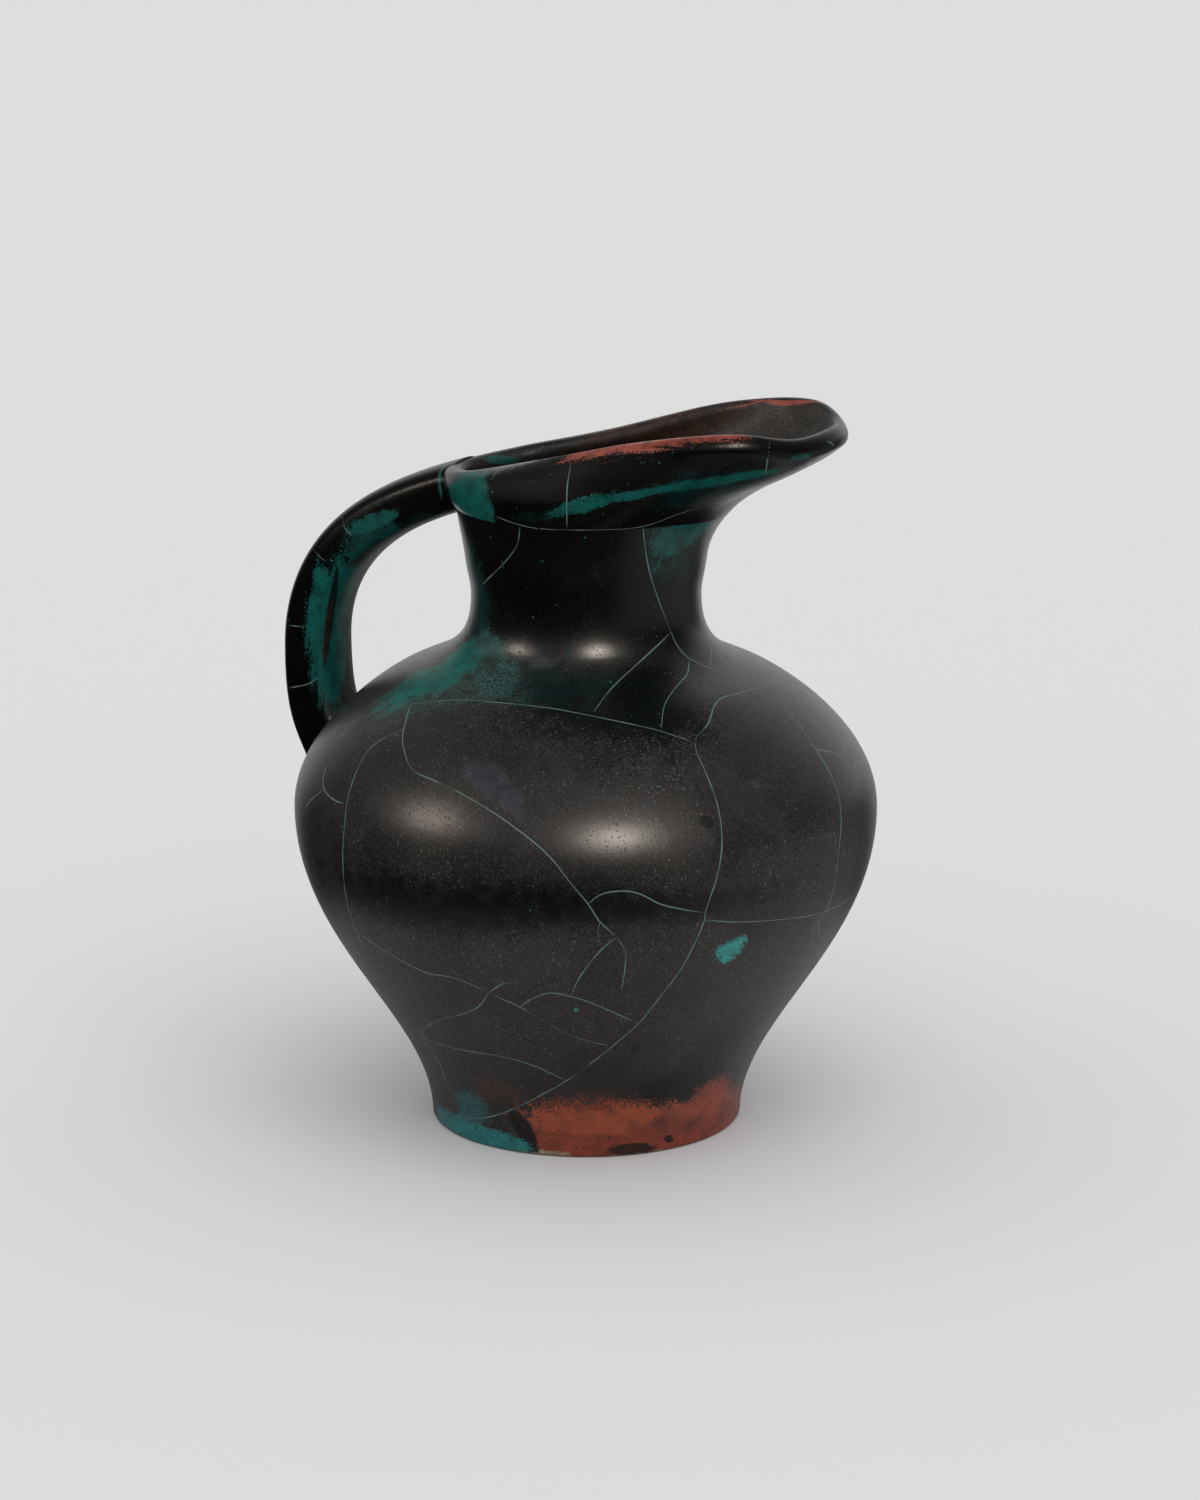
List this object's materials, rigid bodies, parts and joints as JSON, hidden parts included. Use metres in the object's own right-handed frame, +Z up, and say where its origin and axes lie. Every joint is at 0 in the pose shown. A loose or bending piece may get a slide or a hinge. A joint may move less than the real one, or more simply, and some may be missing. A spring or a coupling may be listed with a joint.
{
  "type": "ceramic jug",
  "caption": "Glazed stoneware jug with a full belly on a narrow foot, a short neck, a wide lipped spout and a strap handle, for holding and pouring liquid or standing flowers.",
  "frame": {"origin": "on the turning axis at the middle of the flat underside of the foot, so the jug stands on z = 0", "axes": "+Z up, +X towards the spout, -X towards the handle, the XZ plane is the plane of symmetry"},
  "size_m": [0.1945, 0.184, 0.2293],
  "materials": {
    "dark_glaze": "satin charcoal glaze with fine specks, pooled teal and a network of pale crazing",
    "foot_glaze": "satin charcoal glaze breaking to iron red, with a bare clay rim underneath",
    "green_glaze": "satin charcoal glaze with teal patches"
  },
  "bodies": {
    "root": {"foot_slab": "foot_glaze", "body": "dark_glaze", "neck": "dark_glaze", "spout_collar": "dark_glaze", "lip_coil": "dark_glaze", "handle": "green_glaze"}
  },
  "joints": []
}
